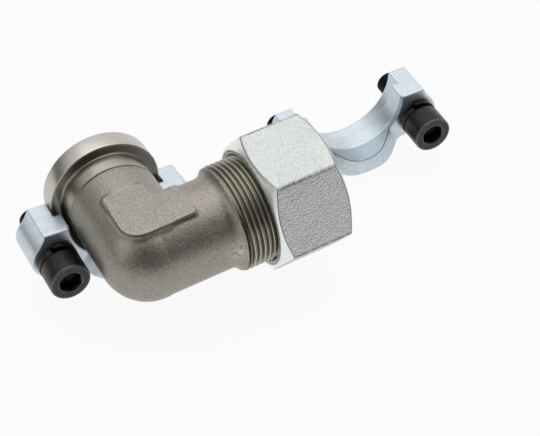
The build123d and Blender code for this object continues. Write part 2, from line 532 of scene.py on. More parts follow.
class Graph:
    """The nodes of a material or of the world."""

    def __init__(self, owner: bpy.types.Material | bpy.types.World) -> None:
        """Gives the owner an empty node tree.

        Args:
            owner: the material or the world.
        """
        owner.use_nodes = True
        self.owner = owner
        self.tree = owner.node_tree
        self.tree.nodes.clear()

    @classmethod
    def of_material(cls, name: str) -> "Graph":
        """The empty graph of a new material."""
        return cls(bpy.data.materials.new(name))

    def node(self, kind: str, settings: dict[str, object] | None = None, **sockets: object) -> bpy.types.Node:
        """Adds any node.

        Args:
            kind: the node's type.
            settings: its own settings, set before the sockets.
            **sockets: values or links by socket name, with _ for a space.

        Returns:
            The node.
        """
        made = self.tree.nodes.new(kind)
        for key, value in (settings or {}).items():
            setattr(made, key, value)
        for key, value in sockets.items():
            title = key.replace("_", " ")
            self.feed(next(s for s in made.inputs if s.name == title and s.enabled), value)
        return made

    def result(self, node: bpy.types.Node) -> Value:
        """The first output that a node's settings leave open."""
        return Value(self, next(out for out in node.outputs if out.enabled))

    def value(self, kind: str, settings: dict[str, object] | None = None, **sockets: object) -> Value:
        """Adds any node, as `node` does, and gives its result."""
        return self.result(self.node(kind, settings, **sockets))

    def feed(self, socket: bpy.types.NodeSocket, value: object) -> None:
        """Links a socket or sets it.

        Args:
            socket: an input.
            value: a Value to link, or a number, triple or colour to set.
        """
        if isinstance(value, Value):
            self.tree.links.new(value.socket, socket)
        elif isinstance(value, tuple) and socket.type == "RGBA":
            socket.default_value = (*value[:3], 1.0)
        else:
            socket.default_value = value

    def position(self) -> Value:
        """Position in the piece's own frame, in millimetres."""
        node = self.node("ShaderNodeAttribute", {"attribute_name": LOCAL})
        return Value(self, node.outputs["Vector"])

    def about_x(self) -> tuple[Value, Value, Value]:
        """Reads where a point lies about the X axis of its piece.

        Returns:
            Its position, its x and its distance from the axis.
        """
        where = self.position()
        x, y, z = where.parts()
        return where, x, (y * y + z * z).root()

    def vector(self, x: object, y: object, z: object) -> Value:
        """A vector from its parts."""
        return self.value("ShaderNodeCombineXYZ", None, X=x, Y=y, Z=z)

    def noise(self, where: Value, scale: float, detail: float = 3.0, roughness: float = 0.5) -> Value:
        """Noise from 0 to 1, with about `scale` swells to a millimetre."""
        return self.value(
            "ShaderNodeTexNoise", None, Vector=where, Scale=scale, Detail=detail, Roughness=roughness
        )

    def cells(self, where: Value, scale: float) -> Value:
        """Distance to the middle of random cells, about `scale` of them to a millimetre."""
        return self.value("ShaderNodeTexVoronoi", {"feature": "F1"}, Vector=where, Scale=scale)

    def mix(self, share: object, low: object, high: object) -> Value:
        """A colour between two others."""
        return self.value("ShaderNodeMix", {"data_type": "RGBA"}, Factor=share, A=low, B=high)

    def bump(self, height: Value, depth: float = 1.0) -> Value:
        """Normals of a relief whose height is a share of `depth` millimetres."""
        return self.value("ShaderNodeBump", None, Strength=1.0, Distance=depth * MM, Height=height)

    def surface(self, **sockets: object) -> bpy.types.Material:
        """Finishes the material with one Principled shader.

        Args:
            **sockets: values or links of the shader's sockets by name, with _ for a space.

        Returns:
            The material.
        """
        shader = self.value("ShaderNodeBsdfPrincipled", None, **sockets)
        self.node("ShaderNodeOutputMaterial", None, Surface=shader)
        return self.owner


@dataclass(frozen=True)
class ForgedSkin:
    """Phosphated forging: warm grey and finely pitted, with painted shade in the crease round the pad and
    scale by the shoulder.
    """

    elbow: "Forging"
    name: str = "forged_skin"
    light: Colour = (0.450, 0.420, 0.370)
    dark: Colour = (0.215, 0.198, 0.172)
    scale: Colour = (0.58, 0.56, 0.51)
    # painted shade colour, darkening the crease at the pad's foot
    crease_shade_colour: Colour = (0.07, 0.062, 0.05)
    roughness: float = 0.41
    metallic: float = 0.88
    cloud_scale: float = 0.09
    grain_scale: float = 1.5
    pit_scale: float = 1.1
    mottle_scale: float = 0.75
    relief: float = 0.11
    patch_middle: Corner = (29.0, -63.3, 0.5)
    patch_reach: float = 7.5
    crease_base: float = 10.0
    crease_top: float = 13.0

    def past_pad(self, x: Value, y: Value) -> Value:
        """Distance in plan past the pad's outer edges and the corner between them.

        Args:
            x: x of the point.
            y: y of the point.

        Returns:
            The distance, below zero on the pad.
        """
        radius = self.elbow.pad_outer_radius
        past_x = radius - self.elbow.pad_half_width - x
        past_y = radius + self.elbow.pad_low - self.elbow.flange_leg - y
        corner = (past_x.larger(0.0) ** 2 + past_y.larger(0.0) ** 2).root()
        return corner + past_x.larger(past_y).smaller(0.0) - radius

    def painted_crease_shade(self, where: Value) -> Value:
        """Painted shade in the crease at the pad's foot, up to the ends of its arms.

        Args:
            where: position in the elbow's own frame.

        Returns:
            Its share, from 0 to 1.
        """
        x, y, z = where.parts()
        past = self.past_pad(x, y)
        foot = past.rise(0.05, 0.3) * past.fall(0.65, 1.25) * z.rise(self.crease_base, self.crease_top)
        end_x = self.elbow.pad_tube_end
        end_y = self.elbow.pad_flange_end - self.elbow.flange_leg
        return foot * x.fall(end_x - 0.4, end_x + 0.9) * y.fall(end_y - 0.8, end_y + 0.5)

    def material(self) -> bpy.types.Material:
        """Builds the material.

        Returns:
            The material.
        """
        graph = Graph.of_material(self.name)
        where = graph.position()
        clouds = graph.noise(where, self.cloud_scale)
        grain = graph.noise(where, self.grain_scale, 4.0, 0.65)
        pits = graph.cells(where, self.pit_scale)
        near = where.distance(self.patch_middle).fall(0.25 * self.patch_reach, self.patch_reach)
        patch = near * graph.noise(where, self.mottle_scale).rise(0.47, 0.6)
        tint = graph.mix(clouds * 0.25 + grain.rise(0.3, 0.7) * 0.7, self.dark, self.light)
        tint = graph.mix(patch * 0.65, tint, self.scale)
        return graph.surface(
            # the crease at the pad's foot is darkened with painted shade
            Base_Color=graph.mix(self.painted_crease_shade(where) * 0.6, tint, self.crease_shade_colour),
            Metallic=self.metallic,
            Roughness=self.roughness + (grain - 0.5) * 0.3,
            Normal=graph.bump(grain * 0.65 + pits.rise(0.0, 0.45) * 0.35, self.relief),
        )


@dataclass(frozen=True)
class TurnedSteel:
    """Turned and phosphated steel with fine tool rings about X, and a painted highlight on the rim."""

    rim_radius: float
    name: str = "turned_steel"
    light: Colour = (0.43, 0.40, 0.36)
    dark: Colour = (0.29, 0.27, 0.24)
    # painted highlight colour on the flange head's rim
    painted_rim_highlight: Colour = (0.62, 0.59, 0.55)
    roughness: float = 0.3
    cloud_scale: float = 0.12
    ring_scale: float = 5.0
    ring_depth: float = 0.006

    def material(self) -> bpy.types.Material:
        """Builds the material.

        Returns:
            The material.
        """
        graph = Graph.of_material(self.name)
        where, x, out = graph.about_x()
        rings = graph.noise(graph.vector(x, out, 0.0), self.ring_scale, 3.0, 0.7)
        clouds = graph.noise(where, self.cloud_scale)
        tint = graph.mix((rings * 0.6 + clouds * 0.6 - 0.1).larger(0.0), self.dark, self.light)
        # painted highlight along the outer rim
        rim = out.rise(self.rim_radius - 1.2, self.rim_radius - 0.3) * (0.7 + rings * 0.3)
        return graph.surface(
            Base_Color=graph.mix(rim * 0.8, tint, self.painted_rim_highlight),
            Metallic=1.0,
            Roughness=self.roughness + (rings - 0.5) * 0.16 + (clouds - 0.5) * 0.12,
            Normal=graph.bump(rings, self.ring_depth),
        )


@dataclass(frozen=True)
class ThreadSteel:
    """Cut thread about X: painted highlights on the crests over painted shade in the grooves."""

    crest_radius: float
    name: str = "thread_steel"
    # painted highlight colour on the crests
    crest: Colour = (0.66, 0.60, 0.50)
    # painted shade colour in the grooves
    painted_groove_shade: Colour = (0.225, 0.21, 0.168)
    crest_depth: float = 0.14
    roughness: float = 0.32
    metallic: float = 0.9
    cloud_scale: float = 0.35

    def material(self) -> bpy.types.Material:
        """Builds the material.

        Returns:
            The material.
        """
        graph = Graph.of_material(self.name)
        where, _, out = graph.about_x()
        clouds = graph.noise(where, self.cloud_scale)
        # painted highlight on the crests, painted shade in the grooves below them
        crest = out.rise(self.crest_radius - self.crest_depth, self.crest_radius - 0.04)
        return graph.surface(
            Base_Color=graph.mix(crest * (0.55 + clouds * 0.6), self.painted_groove_shade, self.crest),
            Metallic=self.metallic,
            Roughness=self.roughness + (clouds - 0.5) * 0.2,
        )


@dataclass(frozen=True)
class NutZinc:
    """Zinc plate on the nut: pebbled flats with matte grains, smooth turned chamfers, and darker edges along
    the flats' borders with the chamfers and at the corners.
    """

    nut: "UnionNut"
    name: str = "nut_zinc"
    light: Colour = (0.89, 0.915, 0.90)
    dark: Colour = (0.47, 0.50, 0.48)
    # darker colour along the flats' borders with the chamfers and at the corners
    edge_tone: Colour = (0.13, 0.13, 0.12)
    roughness: float = 0.5
    turned_roughness: float = 0.27
    metallic: float = 0.98
    turned_metallic: float = 0.95
    cloud_scale: float = 0.07
    grain_scale: float = 1.35
    grain_height: float = 0.08
    pebble_scale: float = 1.1
    pebble_height: float = 0.28
    blot_scale: float = 0.75
    speck_scale: float = 1.1
    chip_scale: float = 0.55

    def material(self) -> bpy.types.Material:
        """Builds the material.

        Returns:
            The material.
        """
        graph = Graph.of_material(self.name)
        where, x, out = graph.about_x()
        chamfer = (out - self.nut.face_radius) * self.nut.chamfer_slope
        inset = (x - chamfer).smaller(self.nut.length - x - chamfer)
        turned = inset.fall(0.05, 0.25)
        clouds = graph.noise(where, self.cloud_scale)
        grain = graph.noise(where, self.grain_scale, 4.0, 0.65)
        matte = grain.rise(0.36, 0.64)
        blots = graph.noise(where, self.blot_scale, 3.0, 0.6).rise(0.35, 0.65)
        specks = graph.noise(where, self.speck_scale, 3.0, 0.6).fall(0.27, 0.36)
        chips = graph.noise(where, self.chip_scale, 4.0, 0.6).rise(0.42, 0.62)
        pebbles = graph.cells(where, self.pebble_scale)
        # darker band on the flats next to the chamfers, and darker chipped corners
        line = inset.rise(0.0, 0.2) * inset.fall(0.3, 0.62)
        corner = out.rise(self.nut.corner_radius - 0.5, self.nut.corner_radius - 0.2)
        edge = line.larger(corner * (0.5 + chips * 0.5)) * (1 - specks * 0.3)
        share = clouds * 0.35 + blots * 0.1 + matte * 0.42 + 0.17 - specks * 0.4
        tint = graph.mix(share.larger(turned * 0.85), self.dark, self.light)
        smoother = turned * (self.roughness - self.turned_roughness)
        relief = pebbles * self.pebble_height + grain * self.grain_height
        return graph.surface(
            Base_Color=graph.mix(edge * 0.65, tint, self.edge_tone),
            Metallic=(self.metallic - matte * 0.7) * (1 - turned) + turned * self.turned_metallic,
            Roughness=self.roughness + (clouds - 0.5) * 0.12 - smoother,
            Normal=graph.bump(relief * (1 - turned)),
        )


@dataclass(frozen=True)
class HalfZinc:
    """Bluish zinc plate on a flange half, lightly brushed, with painted shade in the hub bore."""

    half: "FlangeHalf"
    name: str = "half_zinc"
    light: Colour = (0.74, 0.81, 0.86)
    dark: Colour = (0.49, 0.56, 0.61)
    # painted shade colour in the hub bore
    bore_painted_shade: Colour = (0.34, 0.41, 0.465)
    bore_margin: float = 0.4
    roughness: float = 0.38
    metallic: float = 0.8
    cloud_scale: float = 0.07
    grain_scale: float = 0.9
    grain_stretch: Corner = (1.0, 0.35, 1.0)
    scratch_stretch: Corner = (0.25, 2.2, 0.25)
    relief: float = 0.025

    def material(self) -> bpy.types.Material:
        """Builds the material.

        Returns:
            The material.
        """
        graph = Graph.of_material(self.name)
        where = graph.position()
        x, y, z = where.parts()
        out = (x * x + z * z).root()
        clouds = graph.noise(where, self.cloud_scale)
        grain = graph.noise(where * self.grain_stretch, self.grain_scale, 4.0, 0.6)
        scratches = graph.noise(where * self.scratch_stretch, 1.0, 3.0, 0.7)
        specks = grain.fall(0.26, 0.40)
        wall = self.half.hub_bore + self.bore_margin
        lip = self.half.lip_end
        # painted shade on the hub bore's wall past the lip
        bore = out.fall(wall - 0.2, wall) * (0 - y).rise(lip - 0.05, lip + 0.1)
        share = clouds * 0.35 + grain * 0.35 + scratches.rise(0.32, 0.68) * 0.4 - specks * 0.3
        tint = graph.mix(share.larger(0.0), self.dark, self.light)
        return graph.surface(
            Base_Color=graph.mix(bore * (0.6 + clouds * 0.6), tint, self.bore_painted_shade),
            Metallic=self.metallic,
            Roughness=self.roughness + (clouds - 0.5) * 0.15 + specks * 0.12,
            Normal=graph.bump(grain * 0.6 + scratches * 0.4, self.relief),
        )


@dataclass(frozen=True)
class BlackOxide:
    """Oiled black oxide on steel, lighter with wear round the screw head's rim and socket."""

    screw: "CapScrew"
    name: str = "black_oxide"
    light: Colour = (0.031, 0.030, 0.027)
    dark: Colour = (0.012, 0.012, 0.0105)
    edge_tone: Colour = (0.20, 0.195, 0.18)
    mouth_radius: float = 4.75
    roughness: float = 0.36
    metallic: float = 0.6
    cloud_scale: float = 0.22
    grain_scale: float = 2.2
    chip_scale: float = 0.9
    relief: float = 0.02

    def material(self) -> bpy.types.Material:
        """Builds the material.

        Returns:
            The material.
        """
        graph = Graph.of_material(self.name)
        where, x, out = graph.about_x()
        clouds = graph.noise(where, self.cloud_scale)
        grain = graph.noise(where, self.grain_scale)
        chips = graph.noise(where, self.chip_scale, 4.0, 0.6).rise(0.3, 0.65)
        top = (0 - x).rise(self.screw.head_height - 1.1, self.screw.head_height - 0.4)
        rim = out.rise(self.screw.head_radius - 1.1, self.screw.head_radius - 0.5)
        mouth = abs(out - self.mouth_radius).fall(0.1, 0.4)
        wear = top * (rim * (0.45 + chips * 0.4)).larger(mouth * (0.35 + chips * 0.5)).larger(0.14)
        tint = graph.mix(clouds.rise(0.3, 0.75) * 0.6 + grain * 0.3, self.dark, self.light)
        return graph.surface(
            Base_Color=graph.mix(wear * 0.8, tint, self.edge_tone),
            Metallic=self.metallic,
            Roughness=self.roughness + (grain - 0.5) * 0.2,
            Normal=graph.bump(grain, self.relief),
        )


@dataclass(frozen=True)
class SealRubber:
    """Moulded black rubber."""

    name: str = "seal_rubber"
    light: Colour = (0.035, 0.035, 0.036)
    dark: Colour = (0.016, 0.016, 0.016)
    roughness: float = 0.55
    grain_scale: float = 1.5
    relief: float = 0.01

    def material(self) -> bpy.types.Material:
        """Builds the material.

        Returns:
            The material.
        """
        graph = Graph.of_material(self.name)
        grain = graph.noise(graph.position(), self.grain_scale)
        return graph.surface(
            Base_Color=graph.mix(grain, self.dark, self.light),
            Roughness=self.roughness + (grain - 0.5) * 0.2,
            Normal=graph.bump(grain, self.relief),
        )


def dressed(
    made: bpy.types.Object, material: bpy.types.Material, body: Body, slot: Slot, *nodes: str
) -> bpy.types.Object:
    """Gives a piece its finish and its part in the CAD model.

    Args:
        made: the piece.
        material: its finish.
        body: the body that it rides on.
        slot: its material slot; not used.
        *nodes: the CAD nodes that it stands for.

    Returns:
        The piece.
    """
    made.data.materials.append(material)
    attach(made, body.value)
    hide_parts(*nodes)
    return made


@dataclass(frozen=True)
class Forging:
    """The elbow: forged bend with an L-shaped pad, turned flange head, shoulder and thread."""

    flange_leg: float = 44.6
    flange_leg_radius: float = 18.25
    tube_leg_radius: float = 18.0
    leg_fillet: float = 1.6
    leg_rise: float = 3.75
    head_radius: float = 22.225
    head_thickness: float = 8.0
    neck_radius: float = 18.1
    neck_length: float = 7.5
    neck_line: float = 0.5
    neck_step: float = 0.4
    neck_edge: float = 0.35
    port_radius: float = 12.5
    port_depth: float = 52.0
    port_point: float = 7.0
    groove_inner: float = 15.9
    groove_outer: float = 20.1
    groove_depth: float = 2.8
    pad_height: float = 17.9
    pad_depth: float = 7.0
    pad_half_width: float = 8.3
    pad_tube_shift: float = 0.9
    pad_flange_end: float = 17.0
    pad_tube_end: float = 18.6
    pad_outer_radius: float = 7.0
    pad_inner_radius: float = 3.0
    pad_end_radius: float = 1.6
    pad_draft: float = 14.0
    pad_edge: float = 0.9
    pad_fillet: float = 0.9
    pad_trim: float = 0.5
    tube_leg: float = 57.0
    shoulder_foot: float = 24.0
    shoulder_start: float = 29.3
    shoulder_flare: float = 1.9
    shoulder_length: float = 0.5
    shoulder_radius: float = 20.8
    shoulder_edge: float = 0.6
    shoulder_fillet: float = 2.2
    thread_gap: float = 0.05
    thread_radius: float = 20.8
    thread_depth: float = 1.2
    thread_pitch: float = 2.0
    thread_runout: float = 0.5
    end_chamfer: float = 1.4
    chamfer_slope: float = 1.2
    leg_bore: float = 12.0
    bore_edge: float = 0.3
    socket_radius: float = 15.1
    socket_depth: float = 12.0
    cone_mouth: float = 16.5
    cone_half_angle: float = 12.0
    overlap: float = 0.6
    neck_overlap: float = 1.0
    bore_overlap: float = 0.1
    side_margin: float = 2.0
    end_margin: float = 1.5
    cell: float = 0.43
    columns: int = 144

    @property
    def rise(self) -> Place:
        """The elbow as it lies, its tube leg raised."""
        return about(Axis.Y, -self.leg_rise)

    @property
    def leg(self) -> Place:
        """From a frame along the tube leg to the CAD frame."""
        return self.rise @ shifted(y=-self.flange_leg)

    @property
    def neck_end(self) -> float:
        """Where the turned neck ends, measured from the sealing face."""
        return self.head_thickness + self.neck_length + self.neck_line

    @property
    def shoulder_end(self) -> float:
        """Where the shoulder ends along the tube leg."""
        return self.shoulder_start + self.shoulder_flare + self.shoulder_length

    @property
    def pad_low(self) -> float:
        """The pad's outer edge beside the tube leg, measured from that leg's axis."""
        return self.pad_tube_shift - self.pad_half_width

    def pad_outline(self, x: np.ndarray, y: np.ndarray) -> np.ndarray:
        """Distance to the pad's L in plan.

        Args:
            x: distance along the tube leg from the bend.
            y: distance along the flange leg from the bend.

        Returns:
            The distance, below zero inside the L.
        """
        half = self.pad_half_width
        low = self.pad_low
        arms = []
        for end_x, end_y in ((self.pad_tube_end, low + 2 * half), (half, self.pad_flange_end)):
            mid_x = (end_x - half) / 2
            mid_y = (end_y + low) / 2
            corner = np.where((x < mid_x) & (y < mid_y), self.pad_outer_radius, self.pad_end_radius)
            out_x = abs(x - mid_x) - (end_x + half) / 2 + corner
            out_y = abs(y - mid_y) - (end_y - low) / 2 + corner
            outside = np.hypot(np.maximum(out_x, 0), np.maximum(out_y, 0))
            arms.append(outside + np.minimum(np.maximum(out_x, out_y), 0) - corner)
        return soft_min(arms[0], arms[1], self.pad_inner_radius)

    def with_pad(self, solid: np.ndarray, x: np.ndarray, y: np.ndarray, z: np.ndarray) -> np.ndarray:
        """Adds the drafted pad and cuts the forging flat above it.

        Args:
            solid: distance to the forging without the pad.
            x: distance along the tube leg from the bend.
            y: distance along the flange leg from the bend.
            z: height.

        Returns:
            The distance, below zero inside.
        """
        outline = self.pad_outline(x, y)
        lean = math.tan(math.radians(self.pad_draft))
        pad = soft_max(outline - (self.pad_height - z) * lean, z - self.pad_height, self.pad_edge)
        pad = np.maximum(pad, self.pad_height - self.pad_depth - z)
        above = soft_max(outline, self.pad_height - z, self.pad_trim)
        return soft_max(soft_min(solid, pad, self.pad_fillet), -above, self.pad_trim)

    def shoulder(self, x: np.ndarray, out: np.ndarray) -> np.ndarray:
        """Distance to the shoulder, a cone that ends in a rim.

        Args:
            x: distance along the tube leg from the bend.
            out: distance from the tube leg's axis.

        Returns:
            The distance, below zero inside.
        """
        flare = np.array([self.tube_leg_radius - self.shoulder_radius, self.shoulder_flare])
        flare = flare / np.linalg.norm(flare)
        cone = flare[0] * (x - self.shoulder_start) + flare[1] * (out - self.tube_leg_radius)
        rim = soft_max(cone, out - self.shoulder_radius, self.shoulder_edge)
        return np.maximum(rim, self.shoulder_foot - x)

    def forged_shell(self) -> Shell:
        """Shapes the forging from the neck line to the shoulder, with the bores inside.

        Returns:
            The uneven skin.
        """
        wide = self.shoulder_radius + self.side_margin
        low = (-wide, -self.flange_leg - wide, -wide)
        high = (self.shoulder_end + self.end_margin, -self.neck_end + self.end_margin, wide)
        block = CellBlock(low, high, self.cell)
        x, y, z = block.axes()
        y = y + self.flange_leg
        from_flange_axis = np.hypot(x, z)
        from_tube_axis = np.hypot(y, z)
        flange_leg = np.maximum(from_flange_axis - self.flange_leg_radius, -y)
        tube_leg = np.maximum(from_tube_axis - self.tube_leg_radius, -x)
        bend = np.sqrt(x * x + y * y + z * z) - self.flange_leg_radius
        solid = np.minimum(bend, soft_min(flange_leg, tube_leg, self.leg_fillet))
        solid = soft_min(solid, self.shoulder(x, from_tube_axis), self.shoulder_fillet)
        solid = self.with_pad(solid, x, y, z)
        solid = soft_max(solid, y - (self.flange_leg - self.neck_end), self.neck_edge)
        solid = soft_max(solid, x - self.shoulder_end, self.shoulder_edge)
        point = self.port_radius * (y + self.port_depth + self.port_point - self.flange_leg) / self.port_point
        port = from_flange_axis - np.minimum(self.port_radius, point)
        bore = np.maximum(from_tube_axis - self.leg_bore, -x)
        skin = block.skin(soft_max(solid, -np.minimum(port, bore), self.bore_edge))
        swells = skin.weathered(depth=0.08, spacing=4.0, seed=7)
        return swells.weathered(depth=0.05, spacing=1.3, seed=11)

    def head_shell(self) -> Shell:
        """Turns the flange head and the neck, with the seal groove and the port bore.

        Returns:
            The shell about X.
        """
        line = -self.head_thickness - self.neck_length
        tail = self.neck_radius - self.neck_step
        end = line - self.neck_line - self.neck_overlap
        profile = [
            (0.0, self.port_radius, 0.4),
            (0.0, self.groove_inner, 0.15),
            (-self.groove_depth, self.groove_inner, 0.25),
            (-self.groove_depth, self.groove_outer, 0.25),
            (0.0, self.groove_outer, 0.15),
            (0.0, self.head_radius, 0.55),
            (-self.head_thickness, self.head_radius, 0.4),
            (-self.head_thickness, self.neck_radius, 0.8),
            (line, self.neck_radius, 0.12),
            (line - self.neck_line / 2, tail, 0.0),
            (end, tail, 0.0),
            (end, self.port_radius + self.overlap, 0.0),
            (line - self.neck_line + self.bore_overlap, self.port_radius, 0.0),
        ]
        return bridged(turned_rows(rounded(profile, True, 4), around(self.columns)), True)

    def thread_shell(self) -> Shell:
        """Cuts the threaded end, with its cone, tube socket and bore.

        Returns:
            The shell about X.
        """
        angles = around(self.columns)
        root = self.thread_radius - self.thread_depth
        start = self.shoulder_end + self.thread_gap

        def cap(along: np.ndarray) -> np.ndarray:
            """Limits the thread at its runout by the shoulder and at the chamfered end.

            Args:
                along: places along the axis.

            Returns:
                Largest radius at each place.
            """
            runout = root + np.maximum(along - start, 0) * self.thread_depth / self.thread_runout
            from_end = np.maximum(self.tube_leg - along, 0)
            chamfer = self.thread_radius - self.end_chamfer + from_end * self.chamfer_slope
            return np.minimum(np.minimum(runout, chamfer), self.thread_radius)

        cone = (self.cone_mouth - self.socket_radius) / math.tan(math.radians(self.cone_half_angle))
        inside = [
            (self.tube_leg, self.thread_radius - self.end_chamfer, 0.0),
            (self.tube_leg, self.cone_mouth, 0.2),
            (self.tube_leg - cone, self.socket_radius, 0.1),
            (self.tube_leg - self.socket_depth, self.socket_radius, 0.1),
            (self.tube_leg - self.socket_depth, self.leg_bore, 0.3),
            (self.shoulder_end - self.bore_overlap, self.leg_bore, 0.0),
            (start - self.overlap, self.leg_bore + self.overlap, 0.0),
            (start - self.overlap, root, 0.0),
        ]
        thread = Thread(start, self.tube_leg, self.thread_pitch, root, self.thread_radius)
        rows = [thread.rows(cap, angles), turned_rows(rounded(inside, False), angles)]
        return bridged(np.concatenate(rows), True)

    def build(
        self, skin: bpy.types.Material, turned: bpy.types.Material, thread: bpy.types.Material
    ) -> list[bpy.types.Object]:
        """Makes and dresses the elbow's pieces.

        Args:
            skin: finish of the forging.
            turned: finish of the flange head.
            thread: finish of the threaded end.

        Returns:
            The pieces.
        """
        forged = self.forged_shell().to_object("elbow_forging", self.rise, 180.0)
        head = self.head_shell().to_object("elbow_flange_head", self.rise @ ALONG_Y, 30.0)
        end = self.thread_shell().to_object("elbow_thread", self.leg, 50.0)
        return [
            dressed(forged, skin, Body.FITTING, Slot.FORGED, "elbow_body"),
            dressed(head, turned, Body.FITTING, Slot.FORGED, "elbow_body"),
            dressed(end, thread, Body.FITTING, Slot.FORGED, "elbow_body"),
        ]


@dataclass(frozen=True)
class FaceSeal:
    """The o-ring in the flange face."""

    section_radius: float = 1.765
    middle_radius: float = 18.225
    height: float = -0.985
    section_points: int = 24
    columns: int = 120

    def build(self, rubber: bpy.types.Material) -> bpy.types.Object:
        """Makes and dresses the seal.

        Args:
            rubber: finish.

        Returns:
            The piece.
        """
        turn = np.linspace(0, 2 * math.pi, self.section_points, endpoint=False)
        along = self.height + self.section_radius * np.cos(turn)
        radius = self.middle_radius + self.section_radius * np.sin(turn)
        shell = bridged(turned_rows(np.stack([along, radius], axis=-1), around(self.columns)), True)
        made = shell.to_object("face_seal", ALONG_Y, 180.0)
        return dressed(made, rubber, Body.FITTING, Slot.RUBBER, "face_o_ring")


@dataclass(frozen=True)
class CuttingRing:
    """The ring inside the nut that bites into the tube."""

    leg: Place
    start: float = 58.377
    length: float = 11.6
    bore: float = 15.15
    tip_wall: float = 0.75
    tail_wall: float = 1.0
    collar: float = 18.3
    collar_length: float = 2.0
    nose_angle: float = 12.0
    columns: int = 120

    def build(self, turned: bpy.types.Material) -> bpy.types.Object:
        """Makes and dresses the ring.

        Args:
            turned: finish.

        Returns:
            The piece.
        """
        tip = self.bore + self.tip_wall
        tail = self.bore + self.tail_wall
        shoulder = self.length - (self.collar - tail)
        nose = shoulder - self.collar_length
        nose_radius = tip + nose * math.tan(math.radians(self.nose_angle))
        profile = [
            (0.0, self.bore, 0.1),
            (0.0, tip, 0.15),
            (nose, nose_radius, 0.15),
            (nose, self.collar, 0.2),
            (shoulder, self.collar, 0.2),
            (self.length, tail, 0.2),
            (self.length, self.bore, 0.2),
        ]
        shell = bridged(turned_rows(rounded(profile, True), around(self.columns)), True)
        made = shell.to_object("cutting_ring_turned", self.leg @ shifted(x=self.start))
        return dressed(made, turned, Body.RING, Slot.TURNED, "cutting_ring")


@dataclass(frozen=True)
class UnionNut:
    """The hexagon nut, chamfered at both ends."""

    leg: Place
    start: float = 42.9
    length: float = 30.0
    flat_radius: float = 24.5
    corner_turn: float = 37.8
    corner_round: float = 0.45
    corner_points: int = 5
    flat_points: int = 18
    face_radius: float = 23.275
    chamfer_angle: float = 30.0
    thread_radius: float = 21.0
    thread_length: float = 17.0
    mouth_chamfer: float = 0.8
    cavity_radius: float = 19.7
    exit_radius: float = 15.35
    seat_shoulder: float = 25.139
    ring_collar: float = 18.3

    @property
    def chamfer_slope(self) -> float:
        """How far the end chamfers fall for each millimetre outwards."""
        return math.tan(math.radians(self.chamfer_angle))

    @property
    def corner_middle(self) -> float:
        """Radius at which the corners' roundings have their middles."""
        return (self.flat_radius - self.corner_round) / math.cos(math.radians(30))

    @property
    def corner_radius(self) -> float:
        """Radius of the rounded corners."""
        return self.corner_middle + self.corner_round

    def hexagon(self) -> tuple[np.ndarray, np.ndarray]:
        """Lays out points round the hexagon with its rounded corners.

        Returns:
            The angle and the radius of each point, the last on the first.
        """
        points = []
        for corner in range(6):
            turn = math.radians(self.corner_turn + 90 + 60 * corner)
            arc = turn + np.radians(np.linspace(-30, 30, self.corner_points))
            centre = self.corner_middle * np.array([math.cos(turn), math.sin(turn)])
            points += [centre + self.corner_round * np.array([math.cos(a), math.sin(a)]) for a in arc]
            after = turn + math.radians(60)
            far = self.corner_middle * np.array([math.cos(after), math.sin(after)])
            normal = turn + math.radians(30)
            offset = self.corner_round * np.array([math.cos(normal), math.sin(normal)])
            flat = np.linspace(0, 1, self.flat_points)[1:-1]
            points += [centre + (far - centre) * t + offset for t in flat]
        points.append(points[0])
        at = np.array(points)
        return np.unwrap(np.arctan2(at[:, 1], at[:, 0])), np.hypot(at[:, 0], at[:, 1])

    def shell(self) -> Shell:
        """Shapes the hexagon, its chamfers and the nut's inside.

        Returns:
            The shell about X, from the nut's open end.
        """
        angles, radii = self.hexagon()
        seat_start = self.seat_shoulder - (self.cavity_radius - self.ring_collar)
        seat_end = self.seat_shoulder + (self.ring_collar - self.exit_radius)
        inside = [
            (self.length, self.exit_radius, 0.4),
            (seat_end, self.exit_radius, 0.1),
            (seat_start, self.cavity_radius, 0.1),
            (self.thread_length + self.thread_radius - self.cavity_radius, self.cavity_radius, 0.1),
            (self.thread_length, self.thread_radius, 0.1),
            (self.mouth_chamfer, self.thread_radius, 0.1),
            (0.0, self.thread_radius + self.mouth_chamfer, 0.15),
        ]
        profiles = []
        for radius in radii:
            fall = (radius - self.face_radius) * self.chamfer_slope
            outside = [
                (0.0, self.face_radius, 0.3),
                (fall, radius, 0.35),
                (self.length - fall, radius, 0.35),
                (self.length, self.face_radius, 0.3),
            ]
            profiles.append(rounded(outside + inside, True))
        return bridged(turned_rows(np.array(profiles), angles), True)

    def build(self, zinc: bpy.types.Material) -> bpy.types.Object:
        """Makes and dresses the nut."""
        made = self.shell().to_object("union_nut_hexagon", self.leg @ shifted(x=self.start), 24.0)
        return dressed(made, zinc, Body.NUT, Slot.ZINC, "union_nut")


